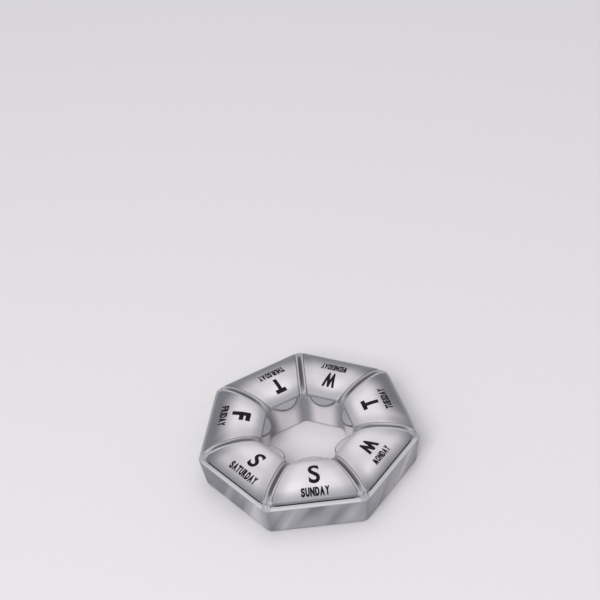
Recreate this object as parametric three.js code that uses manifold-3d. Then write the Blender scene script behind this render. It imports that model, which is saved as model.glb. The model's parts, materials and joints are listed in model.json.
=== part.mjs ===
// A round weekly pill box: a seven-sided ring tray with one pocket for each day, and seven arched lids.
// Each lid turns on two stub pins at its outer edge, and is lifted by a thumb tab over the middle hole.
// Millimetres, +Z up. The box stands on Z = 0 with its bounding box centred on the Z axis, and the
// Sunday side faces -Y. A sector is drawn with its outward direction along +X, then turned into place.
import * as THREE from "three";
import { mergeVertices } from "three/addons/utils/BufferGeometryUtils.js";
import Module from "manifold-3d";

const wasm = await Module();
wasm.setup();

const days = ["sunday", "monday", "tuesday", "wednesday", "thursday", "friday", "saturday"];

// The ring and its walls
const tray = {
  rimCornerRadius: 46, // middle axis to an outer corner of the rim
  holeCornerRadius: 19.7, // middle axis to a corner of the hole, at the rim
  rimHeight: 14.2, // table to the outer edge of the rim
  outerLean: 1.5, // how far the outer wall leans out on its way up
  holeLean: 0.6, // how far the hole narrows on its way down
  outerWall: 1.4,
  innerWall: 1.5,
  innerWallDrop: 0.6, // inner wall's top below the rim's outer edge
  ledgeStep: 0.5, // rim's inner edge above its outer edge
  floor: 1.5,
  rimCornerRound: 2,
  baseCornerRound: 3.4,
  holeCornerRound: 3,
  baseEdgeRound: 1.1,
  rimEdgeRound: 0.45,
  holeEdgeRound: 0.5,
  pocketCornerRound: 1.6,
  floorFillet: 2.2,
};

// The arched ribs between the lids, each with a valley along its crown
const rib = {
  width: 3.2,
  draft: 0.2, // how much wider a rib's side gets down to the floor
  crownRise: 5, // crown above the rim's outer edge
  innerEndRise: 1.1, // arch's inner end above the rim's outer edge
  outerEndRise: 0, // arch's outer end above the rim's outer edge
  innerRound: 1.6, // rounding over into the hole
  outerRound: 3.5, // rounding over into the rim's corner
  sideRound: 0.35, // rounding of the two long edges
  valleyWidth: 1.5,
  valleyDepth: 1.2,
  valleyFade: 5, // length over which the valley fades, from either end of the rib
};

// A lid
const lid = {
  gap: 0.3, // running gap to the tray, all round
  wall: 1.3,
  proud: 0.4, // crown of the lid above the crown of the ribs
  innerEdgeHeight: 1.8, // arch's inner end above the lip's lower face
  innerEdgeRound: 0.7,
  sideRound: 0.8, // rounding of the two side edges
  skirtWall: 1.15,
  skirtDepth: 1.5, // side skirts below the shell
};

// The snap catch: a half-round bead on the inner wall, over one on the lid's inner skirt
const snap = {
  skirtGap: 0.95, // inner skirt's distance from the inner wall
  skirtDepth: 2.2, // inner skirt below the lip's lower face
  beadRadius: 0.32,
  beadHalfWidth: 3.6,
  wallBeadDrop: 0.75, // upper bead's middle below the inner wall's top
  lidBeadRise: 0.4, // lower bead's middle above the inner skirt's lower edge
};

// The hinge at a lid's outer edge
const hinge = {
  axisRise: 1.4, // hinge axis above the rim's outer edge
  barrelRadius: 1.15,
  pinRadius: 0.5,
  pinLength: 1.1,
  pinGap: 0.25, // round a pin and past its end
};

// The thumb tab at a lid's inner edge
const tab = {
  halfWidth: 5.6,
  reach: 3.1,
  tipDrop: 1, // tab's tip below its root
  thickness: 1,
  edgeRound: 0.3,
};

const archExponentShare = 2.5; // an exponent over 2 gives an arch a flatter crown and fuller shoulders
const facets = { arch: 13, corner: 4, pocket: 3, edge: 3, rib: 2, pin: 10, knuckle: 10, barrel: 16, tab: 12 };
const overrun = 2; // how far a cutter runs past what it cuts

const sideCount = days.length;
const halfAngle = Math.PI / sideCount;
const cosHalf = Math.cos(halfAngle);
const tanHalf = Math.tan(halfAngle);

// Places that follow from the sizes. An apothem is a distance from the middle axis, square to a side.
const rimApothem = tray.rimCornerRadius * cosHalf;
const holeApothem = tray.holeCornerRadius * cosHalf;
const baseApothem = rimApothem - tray.outerLean;
const holeBaseApothem = holeApothem - tray.holeLean;
const crownApothem = (rimApothem + holeApothem) / 2;
const ledgeApothem = rimApothem - tray.outerWall;
const wallApothem = holeApothem + tray.innerWall;
const innerWallTop = tray.rimHeight - tray.innerWallDrop;
const crownHeight = tray.rimHeight + rib.crownRise;
const skyHeight = crownHeight + lid.proud + overrun;
const halfRib = rib.width / 2;

const hingeApothem = ledgeApothem - lid.gap - hinge.barrelRadius;
const hingeHeight = tray.rimHeight + hinge.axisRise;
const hingeInnerApothem = hingeApothem - hinge.barrelRadius;
const lipHeight = innerWallTop + lid.gap;
const lipApothem = holeApothem + lid.gap / 2;
const lipEndApothem = lipApothem + lid.wall;

// Half the width of a sector at an apothem, when its side keeps a distance from the radial plane
const sectorHalfWidth = (apothem, distance) => apothem * tanHalf - distance / cosHalf;
const lidHalfWidth = sectorHalfWidth(hingeApothem, halfRib + lid.gap);
const earHalfWidth = lidHalfWidth + lid.gap;

// Distance from the middle axis to a rounded corner of the ring
const cornerReach = (apothem, round) => (apothem - round) / cosHalf + round;

// How far a rounded edge lies below its face, at a distance in from the edge
function roundDrop(distance, radius) {
  const inward = THREE.MathUtils.clamp(distance, 0, radius);
  return radius - Math.sqrt(inward * (2 * radius - inward));
}

// Height of an arch that falls from its crown to one of its ends, at an apothem
function archHeight(apothem, inner, outer, crown) {
  const end = apothem < crownApothem ? inner : outer;
  const share = Math.min((apothem - crownApothem) / (end.apothem - crownApothem), 1);
  return end.height + (crown - end.height) * (1 - share ** archExponentShare);
}

// Places from one end of a stretch to the other, closer together over the roundings at its ends
function archPlaces(from, to, startRound, endRound) {
  const places = [];
  const quarter = (step) => 1 - Math.cos((Math.PI / 2) * (step / facets.edge));
  for (let step = 0; step < facets.edge; step++) places.push(from + startRound * quarter(step));
  for (let step = 0; step <= facets.arch; step++) {
    places.push(THREE.MathUtils.lerp(from + startRound, to - endRound, step / facets.arch));
  }
  for (let step = facets.edge - 1; step >= 0; step--) {
    if (endRound > 0) places.push(to - endRound * quarter(step));
  }
  return places;
}

// A closed mesh as a solid, and a solid as a mesh's geometry
function toSolid(geometry) {
  const bare = geometry.clone();
  bare.deleteAttribute("normal");
  bare.deleteAttribute("uv");
  const merged = mergeVertices(bare);
  const mesh = new wasm.Mesh({
    numProp: merged.attributes.position.itemSize,
    vertProperties: new Float32Array(merged.attributes.position.array),
    triVerts: new Uint32Array(merged.index.array),
  });
  return new wasm.Manifold(mesh);
}

function toGeometry(solid) {
  const { numProp, vertProperties, triVerts } = solid.getMesh();
  const geometry = new THREE.BufferGeometry();
  geometry.setAttribute("position", new THREE.BufferAttribute(vertProperties, numProp));
  geometry.setIndex(new THREE.BufferAttribute(triVerts, 1));
  const faceted = geometry.toNonIndexed();
  faceted.computeVertexNormals();
  return faceted;
}

const turned = (solid, angle) => solid.transform(new THREE.Matrix4().makeRotationZ(angle).elements);
const moved = (solid, x, y, z) => solid.transform(new THREE.Matrix4().makeTranslation(x, y, z).elements);

// A solid between rings of points. Rings hold as many points each, and turn anticlockwise against
// their direction of travel. A stack is capped at both ends, and a loop joins its last ring to its first.
function loft(rings, looped = false) {
  const size = rings[0].length;
  const positions = rings.flat().flatMap((point) => [point.x, point.y, point.z]);
  const indices = [];
  const last = looped ? rings.length : rings.length - 1;
  for (let level = 0; level < last; level++) {
    const above = (level + 1) % rings.length;
    for (let i = 0; i < size; i++) {
      const next = (i + 1) % size;
      const [a, b] = [level * size + i, level * size + next];
      const [c, d] = [above * size + next, above * size + i];
      indices.push(a, b, c, a, c, d);
    }
  }
  if (!looped) {
    const top = last * size;
    for (let i = 2; i < size; i++) indices.push(0, i, i - 1, top, top + i - 1, top + i);
  }
  const geometry = new THREE.BufferGeometry();
  geometry.setAttribute("position", new THREE.Float32BufferAttribute(positions, 3));
  geometry.setIndex(indices);
  return toSolid(geometry);
}

// A bar whose section is drawn in apothem and height, and which runs across a sector
function prism(section, halfWidth) {
  const shape = new THREE.Shape(section.map(([apothem, height]) => new THREE.Vector2(apothem, height)));
  const geometry = new THREE.ExtrudeGeometry(shape, { depth: 2 * halfWidth, bevelEnabled: false });
  geometry.rotateX(Math.PI / 2);
  geometry.translate(0, halfWidth, 0);
  return toSolid(geometry);
}

// A round bar across a sector, between two places of its width
function bar(radius, from, to, apothem, height, segments) {
  const geometry = new THREE.CylinderGeometry(radius, radius, to - from, segments);
  geometry.translate(apothem, (from + to) / 2, height);
  return toSolid(geometry);
}

// A convex outline with its corners rounded, at one height
function roundedOutline(corners, round, height) {
  const points = [];
  const count = corners.length;
  corners.forEach(([x, y], i) => {
    const here = new THREE.Vector2(x, y);
    const before = new THREE.Vector2(...corners[(i + count - 1) % count]).sub(here).normalize();
    const after = new THREE.Vector2(...corners[(i + 1) % count]).sub(here).normalize();
    const half = Math.acos(before.dot(after)) / 2;
    const middle = before.clone().add(after).setLength(round / Math.sin(half)).add(here);
    const spoke = before.clone().setLength(round / Math.tan(half)).add(here).sub(middle);
    for (let step = 0; step <= facets.pocket; step++) {
      const angle = (Math.PI - 2 * half) * (step / facets.pocket);
      const point = spoke.clone().rotateAround(new THREE.Vector2(), angle).add(middle);
      points.push(new THREE.Vector3(point.x, point.y, height));
    }
  });
  return points;
}

// One height of the seven-sided ring, with rounded corners. A side faces +X.
function ringOutline(apothem, round, height) {
  const points = [];
  const reach = (apothem - round) / cosHalf;
  for (let side = 0; side < sideCount; side++) {
    const corner = (2 * side + 1) * halfAngle;
    for (let step = 0; step <= facets.corner; step++) {
      const angle = corner + halfAngle * ((2 * step) / facets.corner - 1);
      const x = reach * Math.cos(corner) + round * Math.cos(angle);
      const y = reach * Math.sin(corner) + round * Math.sin(angle);
      points.push(new THREE.Vector3(x, y, height));
    }
  }
  return points;
}

// Points of a rounded edge in a section, between two directions from its middle
function edgeArc(apothem, height, radius, from, to, steps = facets.edge) {
  const points = [];
  for (let step = 0; step <= steps; step++) {
    const angle = THREE.MathUtils.lerp(from, to, step / steps);
    points.push([apothem + radius * Math.cos(angle), height + radius * Math.sin(angle)]);
  }
  return points;
}

const outerApothemAt = (height) =>
  THREE.MathUtils.lerp(baseApothem, rimApothem, Math.min(height / tray.rimHeight, 1));

// The solid ring that the pockets are cut from
function ringBody() {
  const { baseEdgeRound, holeEdgeRound, rimEdgeRound, rimHeight } = tray;
  const [right, up, left, down] = [0, 0.5, 1, 1.5].map((turn) => turn * Math.PI);
  const section = [
    ...edgeArc(baseApothem - baseEdgeRound, baseEdgeRound, baseEdgeRound, down, 2 * Math.PI),
    ...edgeArc(rimApothem - rimEdgeRound, rimHeight - rimEdgeRound, rimEdgeRound, right, up),
    [ledgeApothem, rimHeight + tray.ledgeStep],
    [wallApothem, innerWallTop],
    ...edgeArc(holeApothem + holeEdgeRound, innerWallTop - holeEdgeRound, holeEdgeRound, up, left),
    ...edgeArc(holeBaseApothem + holeEdgeRound, holeEdgeRound, holeEdgeRound, left, down),
  ];
  const rings = section.map(([apothem, height]) => {
    const { lerp, clamp } = THREE.MathUtils;
    const across = clamp((apothem - holeApothem) / (ledgeApothem - holeApothem), 0, 1);
    const outerRound = lerp(tray.baseCornerRound, tray.rimCornerRound, height / rimHeight);
    return ringOutline(apothem, lerp(tray.holeCornerRound, outerRound, across), height);
  });
  return loft(rings, true);
}

// The room between the hole and the outer wall, which the ribs are trimmed to
function ribRoom() {
  const low = innerWallTop - overrun;
  const { rimEdgeRound, rimCornerRound, holeCornerRound } = tray;
  const rings = [
    ringOutline(holeApothem, holeCornerRound, low),
    ringOutline(outerApothemAt(low) - rimEdgeRound, rimCornerRound, low),
    ringOutline(rimApothem - rimEdgeRound, rimCornerRound, skyHeight),
    ringOutline(holeApothem, holeCornerRound, skyHeight),
  ];
  return loft(rings, true);
}

// One pocket, from its filleted floor up through the open top
function pocketCutter() {
  const level = (inset, height) => {
    const rise = Math.min(height / tray.rimHeight, 1);
    const side = halfRib + rib.draft * (1 - rise) + inset;
    const inner = wallApothem + rib.draft * (1 - rise) + inset;
    const outer = outerApothemAt(height) - tray.outerWall - inset;
    const corners = [
      [inner, -sectorHalfWidth(inner, side)],
      [outer, -sectorHalfWidth(outer, side)],
      [outer, sectorHalfWidth(outer, side)],
      [inner, sectorHalfWidth(inner, side)],
    ];
    return roundedOutline(corners, tray.pocketCornerRound, height);
  };
  const rings = [];
  for (let step = 0; step <= facets.edge; step++) {
    const angle = (Math.PI / 2) * (step / facets.edge);
    const inset = tray.floorFillet * (1 - Math.sin(angle));
    rings.push(level(inset, tray.floor + tray.floorFillet * (1 - Math.cos(angle))));
  }
  rings.push(level(0, tray.rimHeight), level(0, tray.rimHeight + tray.ledgeStep + overrun));
  return loft(rings);
}

// A rib along +X, from the hole's corner to the rim's corner, with its long edges rounded
// and a valley along its crown that fades towards both ends
function ribSolid() {
  const holeReach = cornerReach(holeApothem, tray.holeCornerRound);
  const rimReach = cornerReach(rimApothem, tray.rimCornerRound);
  const inner = { apothem: holeApothem, height: tray.rimHeight + rib.innerEndRise };
  const outer = { apothem: rimApothem, height: tray.rimHeight + rib.outerEndRise };
  const bottom = innerWallTop - overrun;
  const halfValley = rib.valleyWidth / 2;
  const rings = [holeReach - overrun, ...archPlaces(holeReach, rimReach, rib.innerRound, rib.outerRound)].map((x) => {
    const ends = roundDrop(x - holeReach, rib.innerRound) + roundDrop(rimReach - x, rib.outerRound);
    const top = archHeight(x * cosHalf, inner, outer, crownHeight) - ends;
    const nearest = Math.min(x - holeReach, rimReach - x);
    const depth = rib.valleyDepth * THREE.MathUtils.smoothstep(nearest, 0, rib.valleyFade);
    const round = rib.sideRound;
    const shoulder = edgeArc(halfRib - round, top - round, round, 0, Math.PI / 2, facets.rib);
    const slope = [
      [halfValley, top],
      [halfValley / 2, top - (depth * 2) / 3],
    ];
    const right = [...shoulder, ...slope];
    const left = right.map(([y, z]) => [-y, z]).reverse();
    const points = [[-halfRib, bottom], [halfRib, bottom], ...right, [0, top - depth], ...left];
    return points.map(([y, z]) => new THREE.Vector3(x, y, z));
  });
  return loft(rings);
}

// Room for a lid's barrel to turn in, into the ribs at either end
function earCutter() {
  const radius = hinge.barrelRadius + lid.gap;
  return bar(radius, -earHalfWidth, earHalfWidth, hingeApothem, hingeHeight, facets.knuckle);
}

// The two knuckles that carry a lid's pins, out to the middles of the ribs
function knuckles() {
  const reach = sectorHalfWidth(hingeApothem, 0);
  const right = bar(hinge.barrelRadius, earHalfWidth, reach, hingeApothem, hingeHeight, facets.knuckle);
  const left = bar(hinge.barrelRadius, -reach, -earHalfWidth, hingeApothem, hingeHeight, facets.knuckle);
  return right.add(left);
}

// Both pin sockets of a sector, as one bar through the open ear
function socketCutter() {
  const reach = lidHalfWidth + hinge.pinLength + hinge.pinGap;
  return bar(hinge.pinRadius + hinge.pinGap, -reach, reach, hingeApothem, hingeHeight, facets.pin);
}

function wallBead() {
  const height = innerWallTop - snap.wallBeadDrop;
  return bar(snap.beadRadius, -snap.beadHalfWidth, snap.beadHalfWidth, wallApothem, height, facets.pin);
}

// The same solid in every sector
function inEverySector(solid, firstAngle = 0) {
  const copies = days.map((_, i) => turned(solid, firstAngle + 2 * i * halfAngle));
  return copies.reduce((all, copy) => all.add(copy));
}

function traySolid() {
  const ribs = inEverySector(ribSolid(), halfAngle).intersect(ribRoom());
  return ringBody()
    .subtract(inEverySector(pocketCutter()))
    .add(ribs)
    .subtract(inEverySector(earCutter()))
    .add(inEverySector(knuckles()).intersect(ribRoom()))
    .subtract(inEverySector(socketCutter()))
    .add(inEverySector(wallBead()));
}

// Heights of a lid's upper face and of its skirts' lower edge, at an apothem
const barrelTangent = Math.PI / 4; // where the arch runs into the barrel
const lidEnd = {
  apothem: hingeApothem + hinge.barrelRadius * Math.cos(barrelTangent),
  height: hingeHeight + hinge.barrelRadius * Math.sin(barrelTangent),
};
function lidTopAt(apothem) {
  const inner = { apothem: lipApothem, height: lipHeight + lid.innerEdgeHeight };
  const arch = archHeight(apothem, inner, lidEnd, crownHeight + lid.proud);
  return arch - roundDrop(apothem - lipApothem, lid.innerEdgeRound);
}
function lidBottomAt(apothem) {
  const inner = { apothem: lipEndApothem, height: lipHeight };
  const outer = { apothem: hingeApothem, height: hingeHeight - hinge.barrelRadius / 2 };
  return archHeight(apothem, inner, outer, crownHeight + lid.proud - lid.wall - lid.skirtDepth);
}

// The outside of a lid: an arch between the ribs, with its two side edges rounded
function lidBlock() {
  const places = archPlaces(lipApothem, lidEnd.apothem, lid.innerEdgeRound, 0);
  const rings = places.map((x) => {
    const [top, bottom] = [lidTopAt(x), Math.min(lidBottomAt(x), hingeHeight)];
    const halfWidth = Math.min(sectorHalfWidth(x, halfRib + lid.gap), lidHalfWidth);
    const round = Math.min(lid.sideRound, (top - bottom) / 2);
    const right = edgeArc(halfWidth - round, top - round, round, 0, Math.PI / 2);
    const left = right.map(([y, z]) => [-y, z]).reverse();
    const points = [[-halfWidth, bottom], [halfWidth, bottom], ...right, ...left];
    return points.map(([y, z]) => new THREE.Vector3(x, y, z));
  });
  return loft(rings);
}

// The hollow under a lid, inside its skirts
function lidHollow() {
  const rings = archPlaces(lipEndApothem, hingeInnerApothem, 0, 0).map((x) => {
    const halfWidth = sectorHalfWidth(x, halfRib + lid.gap + lid.skirtWall);
    const [low, high] = [lipHeight - overrun, lidTopAt(x) - lid.wall];
    const points = [[-halfWidth, low], [halfWidth, low], [halfWidth, high], [-halfWidth, high]];
    return points.map(([y, z]) => new THREE.Vector3(x, y, z));
  });
  return loft(rings);
}

// The inner skirt, which reaches down inside the inner wall, with its snap bead
function snapSkirt() {
  const near = wallApothem + snap.skirtGap;
  const far = near + lid.skirtWall;
  const low = lipHeight - snap.skirtDepth;
  const halfWidth = sectorHalfWidth(near, halfRib + lid.gap + lid.skirtWall / 2);
  const section = [
    [near, low],
    [far, low],
    [far, lidTopAt(far) - lid.wall / 2],
    [near, lidTopAt(near) - lid.wall / 2],
  ];
  const bead = bar(
    snap.beadRadius,
    -snap.beadHalfWidth,
    snap.beadHalfWidth,
    near,
    low + snap.lidBeadRise,
    facets.pin,
  );
  return prism(section, halfWidth).add(bead);
}

// The thumb tab: a segment of a disc with its edge rounded, let into the lip and sloping down into the hole
function thumbTab() {
  const { halfWidth, reach, tipDrop, thickness, edgeRound } = tab;
  const radius = (halfWidth ** 2 + reach ** 2) / (2 * reach);
  const middle = lipApothem - reach + radius;
  const spread = Math.asin(halfWidth / radius);
  const shape = new THREE.Shape();
  shape.moveTo(lipApothem + lid.wall / 2 - edgeRound, halfWidth - edgeRound);
  shape.absarc(middle, 0, radius - edgeRound, Math.PI - spread, Math.PI + spread, false);
  shape.lineTo(lipApothem + lid.wall / 2 - edgeRound, edgeRound - halfWidth);
  const geometry = new THREE.ExtrudeGeometry(shape, {
    depth: thickness - 2 * edgeRound,
    bevelThickness: edgeRound,
    bevelSize: edgeRound,
    bevelSegments: 1,
    curveSegments: facets.tab,
  });
  geometry.translate(-lipApothem, 0, edgeRound);
  geometry.rotateY(-Math.asin(tipDrop / reach));
  geometry.translate(lipApothem, 0, lipHeight);
  return toSolid(geometry);
}

// A lid in its sector's place
function lidSolid() {
  const barrel = bar(hinge.barrelRadius, -lidHalfWidth, lidHalfWidth, hingeApothem, hingeHeight, facets.barrel);
  const pinReach = lidHalfWidth + hinge.pinLength;
  const pins = bar(hinge.pinRadius, -pinReach, pinReach, hingeApothem, hingeHeight, facets.pin);
  return lidBlock().subtract(lidHollow()).add(snapSkirt()).add(thumbTab()).add(barrel).add(pins);
}

const trayPlastic = new THREE.MeshStandardMaterial({ color: 0xb4b7bd, roughness: 0.35, metalness: 0 });
const lidPlastic = new THREE.MeshStandardMaterial({ color: 0xd2d1d6, roughness: 0.3, metalness: 0 });

function pillBox() {
  const box = new THREE.Group();
  const farCorner = cornerReach(rimApothem, tray.rimCornerRound);
  box.position.y = (rimApothem - farCorner) / 2;

  const ring = new THREE.Mesh(toGeometry(traySolid()), trayPlastic);
  ring.name = "tray";
  ring.rotation.z = -Math.PI / 2;
  box.add(ring);

  const lidGeometry = toGeometry(moved(lidSolid(), -hingeApothem, 0, -hingeHeight));
  days.forEach((day, i) => {
    const sector = new THREE.Group();
    sector.rotation.z = 2 * i * halfAngle - Math.PI / 2;
    const lidMesh = new THREE.Mesh(lidGeometry, lidPlastic);
    lidMesh.name = `lid_${day}`;
    lidMesh.position.set(hingeApothem, 0, hingeHeight);
    sector.add(lidMesh);
    box.add(sector);
  });
  return box;
}

const scene = new THREE.Group();
scene.add(pillBox());
export default scene;
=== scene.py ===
"""Round weekly pill box: a seven-sided ring tray and seven arched lids with printed day letters.

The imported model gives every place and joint. The tray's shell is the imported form, merged and smoothed. One
lid is modelled anew on the Sunday side and copied round the ring, and each lid carries its own print.
Lengths are in metres, with +Z up and Sunday facing -Y.
"""

import json
import logging
import math
from collections.abc import Callable
from dataclasses import dataclass, field
from enum import Enum
from typing import ClassVar

import bmesh
import bpy
from mathutils import Matrix, Vector


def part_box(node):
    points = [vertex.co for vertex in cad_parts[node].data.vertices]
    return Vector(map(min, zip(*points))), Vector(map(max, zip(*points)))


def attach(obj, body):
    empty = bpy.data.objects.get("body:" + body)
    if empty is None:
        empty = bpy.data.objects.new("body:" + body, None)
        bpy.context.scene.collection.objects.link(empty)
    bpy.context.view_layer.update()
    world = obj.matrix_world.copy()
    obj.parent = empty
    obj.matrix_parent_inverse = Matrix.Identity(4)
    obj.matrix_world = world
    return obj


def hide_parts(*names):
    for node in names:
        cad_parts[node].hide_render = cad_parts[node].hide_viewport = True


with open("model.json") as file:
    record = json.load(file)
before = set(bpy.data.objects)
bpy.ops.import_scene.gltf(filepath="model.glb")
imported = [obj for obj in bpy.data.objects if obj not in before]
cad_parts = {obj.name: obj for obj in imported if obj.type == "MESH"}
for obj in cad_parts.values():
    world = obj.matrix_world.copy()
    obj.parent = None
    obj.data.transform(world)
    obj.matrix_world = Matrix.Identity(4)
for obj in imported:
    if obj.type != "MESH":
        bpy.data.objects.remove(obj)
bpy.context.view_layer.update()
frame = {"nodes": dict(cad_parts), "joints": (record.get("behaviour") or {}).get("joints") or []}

log = logging.getLogger("pill_box")
MM = 0.001
Colour = tuple[float, float, float]
# The ends of a smooth step, and what it gives there where that is not 0 and 1.
Steps = tuple[float, float] | tuple[float, float, float, float]


class Day(Enum):
    """A day of the week, in the order that the lids stand round the ring, anticlockwise from above."""

    SUNDAY = 0
    MONDAY = 1
    TUESDAY = 2
    WEDNESDAY = 3
    THURSDAY = 4
    FRIDAY = 5
    SATURDAY = 6

    @property
    def lid_name(self) -> str:
        """Name of the day's lid, as a node and as a body."""
        return f"lid_{self.name.lower()}"

    @property
    def initial(self) -> str:
        """First letter of the day's name."""
        return self.name[0]

    @property
    def turn(self) -> float:
        """Angle from Sunday's side of the ring to this day's side, in radians."""
        return math.tau * self.value / len(Day)


@dataclass(frozen=True)
class RingPlan:
    """The plan of the ring. An apothem is a distance from its middle axis, square to a side."""

    middle: Vector
    rim_apothem: float
    hinge_apothem: float
    hinge_height: float
    hole_apothem: float = 17.75 * MM
    crown_apothem: float = 29.6 * MM
    rib_half: float = 1.6 * MM

    @classmethod
    def from_frame(cls) -> "RingPlan":
        """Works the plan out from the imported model. The hinge of the Sunday lid and the one of another
        day lie equally far from the middle axis, and Sunday's straight side faces -Y.

        Returns:
            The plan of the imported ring.
        """
        places = {joint["child"]: Vector(joint["pos_m"]) for joint in frame["joints"]}
        middle = sum(places.values(), Vector()) / len(places)
        sunday = places[Day.SUNDAY.lid_name]
        low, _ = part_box("tray")
        return cls(middle=Vector((middle.x, middle.y, 0.0)), rim_apothem=middle.y - low[1],
                   hinge_apothem=middle.y - sunday.y, hinge_height=sunday.z)

    def turned(self, day: Day) -> Matrix:
        """Matrix that takes the Sunday side to a day's side, about the ring's middle axis."""
        shift = Matrix.Translation(self.middle)
        return shift @ Matrix.Rotation(day.turn, 4, "Z") @ shift.inverted()


class Socket:
    """An output socket of a node graph, with arithmetic that adds Math nodes."""

    def __init__(self, graph: "Graph", socket: bpy.types.NodeSocket) -> None:
        """Wraps an output socket of a graph."""
        self.graph = graph
        self.socket = socket

    def _math(self, operation: str, *values: "float | Socket") -> "Socket":
        """Adds a Math node on these values."""
        return self.graph.node("ShaderNodeMath", {"operation": operation}, *values)

    def __add__(self, other: "float | Socket") -> "Socket":
        """Sum."""
        return self._math("ADD", self, other)

    def __radd__(self, other: float) -> "Socket":
        """Sum with a number on the left."""
        return self._math("ADD", other, self)

    def __sub__(self, other: "float | Socket") -> "Socket":
        """Difference."""
        return self._math("SUBTRACT", self, other)

    def __rsub__(self, other: float) -> "Socket":
        """Difference with a number on the left."""
        return self._math("SUBTRACT", other, self)

    def __mul__(self, other: "float | Socket") -> "Socket":
        """Product."""
        return self._math("MULTIPLY", self, other)

    def __rmul__(self, other: float) -> "Socket":
        """Product with a number on the left."""
        return self._math("MULTIPLY", other, self)

    def cosine(self) -> "Socket":
        """Cosine of an angle in radians."""
        return self._math("COSINE", self)

    def sine(self) -> "Socket":
        """Sine of an angle in radians."""
        return self._math("SINE", self)

    def root(self) -> "Socket":
        """Square root."""
        return self._math("SQRT", self)

    def size(self) -> "Socket":
        """Value without its sign."""
        return self._math("ABSOLUTE", self)

    def angle_from(self, other: "Socket") -> "Socket":
        """Angle of a direction in radians, from its part along this value and its part along another."""
        return self._math("ARCTAN2", self, other)

    def wrapped(self, limit: float) -> "Socket":
        """Value wrapped round to lie between minus and plus a limit."""
        return self._math("WRAP", self, limit, -limit)

    def step(self, low: float, high: float, to_low: float = 0.0, to_high: float = 1.0) -> "Socket":
        """A smooth step of this value.

        Args:
            low: Value at which the step starts.
            high: Value at which the step ends. It may be the lesser of the two.
            to_low: Result at low and beyond.
            to_high: Result at high and beyond.

        Returns:
            The stepped value.
        """
        settings = {"interpolation_type": "SMOOTHSTEP"}
        return self.graph.node("ShaderNodeMapRange", settings, self, low, high, to_low, to_high)


class Graph:
    """A node tree that nodes are added to."""

    def __init__(self, tree: bpy.types.NodeTree) -> None:
        """Takes up the node tree of a material or a world."""
        self.tree = tree

    def node(self, kind: str, settings: dict, *inputs: "float | tuple | Socket | None",
             output: int | str = 0, **named: "float | tuple | Socket") -> Socket:
        """Adds a node.

        Args:
            kind: The node's type.
            settings: Properties, set before the sockets.
            *inputs: Values or links for the first sockets, in order. None leaves a socket alone.
            output: Which output to return.
            **named: Values or links by socket name, with _ for a space.

        Returns:
            The chosen output.
        """
        made = self.tree.nodes.new(kind)
        for key, value in settings.items():
            setattr(made, key, value)
        for index, value in enumerate(inputs):
            self.feed(made.inputs[index], value)
        for key, value in named.items():
            self.feed(made.inputs[key.replace("_", " ")], value)
        return Socket(self, made.outputs[output])

    def feed(self, target: bpy.types.NodeSocket, value: "float | tuple | Socket | None") -> None:
        """Gives an input socket its value or its link.

        Args:
            target: The input socket.
            value: The value or link. A colour may leave out its alpha, and None leaves the socket alone.
        """
        if isinstance(value, Socket):
            self.tree.links.new(value.socket, target)
        elif value is not None:
            colour = target.type == "RGBA" and len(value) == 3
            target.default_value = (*value, 1.0) if colour else value

    def outputs(self, made: Socket, *names: str) -> tuple[Socket, ...]:
        """Outputs of a node by their names, found from any one of its outputs."""
        return tuple(Socket(self, made.socket.node.outputs[name]) for name in names)

    def noise(self, vector: Socket, size: float, detail: float = 2.0) -> Socket:
        """Noise from 0 to 1 at a place, with features of about a size in metres."""
        return self.node("ShaderNodeTexNoise", {}, Vector=vector, Scale=1 / size, Detail=detail)

    def mix(self, share: "float | Socket", first: "Colour | Socket", second: "Colour | Socket") -> Socket:
        """A mix of two colours, by the share of the second."""
        unused = (None,) * 5
        return self.node("ShaderNodeMix", {"data_type": "RGBA"}, share, *unused, first, second, output=2)


class Shader(Graph):
    """A material's node graph, with a Principled shader already joined to its output."""

    def __init__(self, name: str) -> None:
        """Starts a material of this name."""
        self.material = bpy.data.materials.new(name)
        self.material.use_nodes = True
        super().__init__(self.material.node_tree)
        self.principled = self.tree.nodes["Principled BSDF"]

    def place(self) -> Socket:
        """Object coordinates."""
        return self.node("ShaderNodeTexCoord", {}, output="Object")

    def bump(self, height: Socket, depth: float, strength: float) -> None:
        """Feeds a height from 0 to 1, whose full step is as deep as given, into the shader's normal."""
        self.set(Normal=self.node("ShaderNodeBump", {}, Strength=strength, Distance=depth, Height=height))

    def set(self, **values: "float | tuple | Socket") -> None:
        """Sets or links the shader's own sockets, by their names with _ for a space."""
        for key, value in values.items():
            self.feed(self.principled.inputs[key.replace("_", " ")], value)


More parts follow.
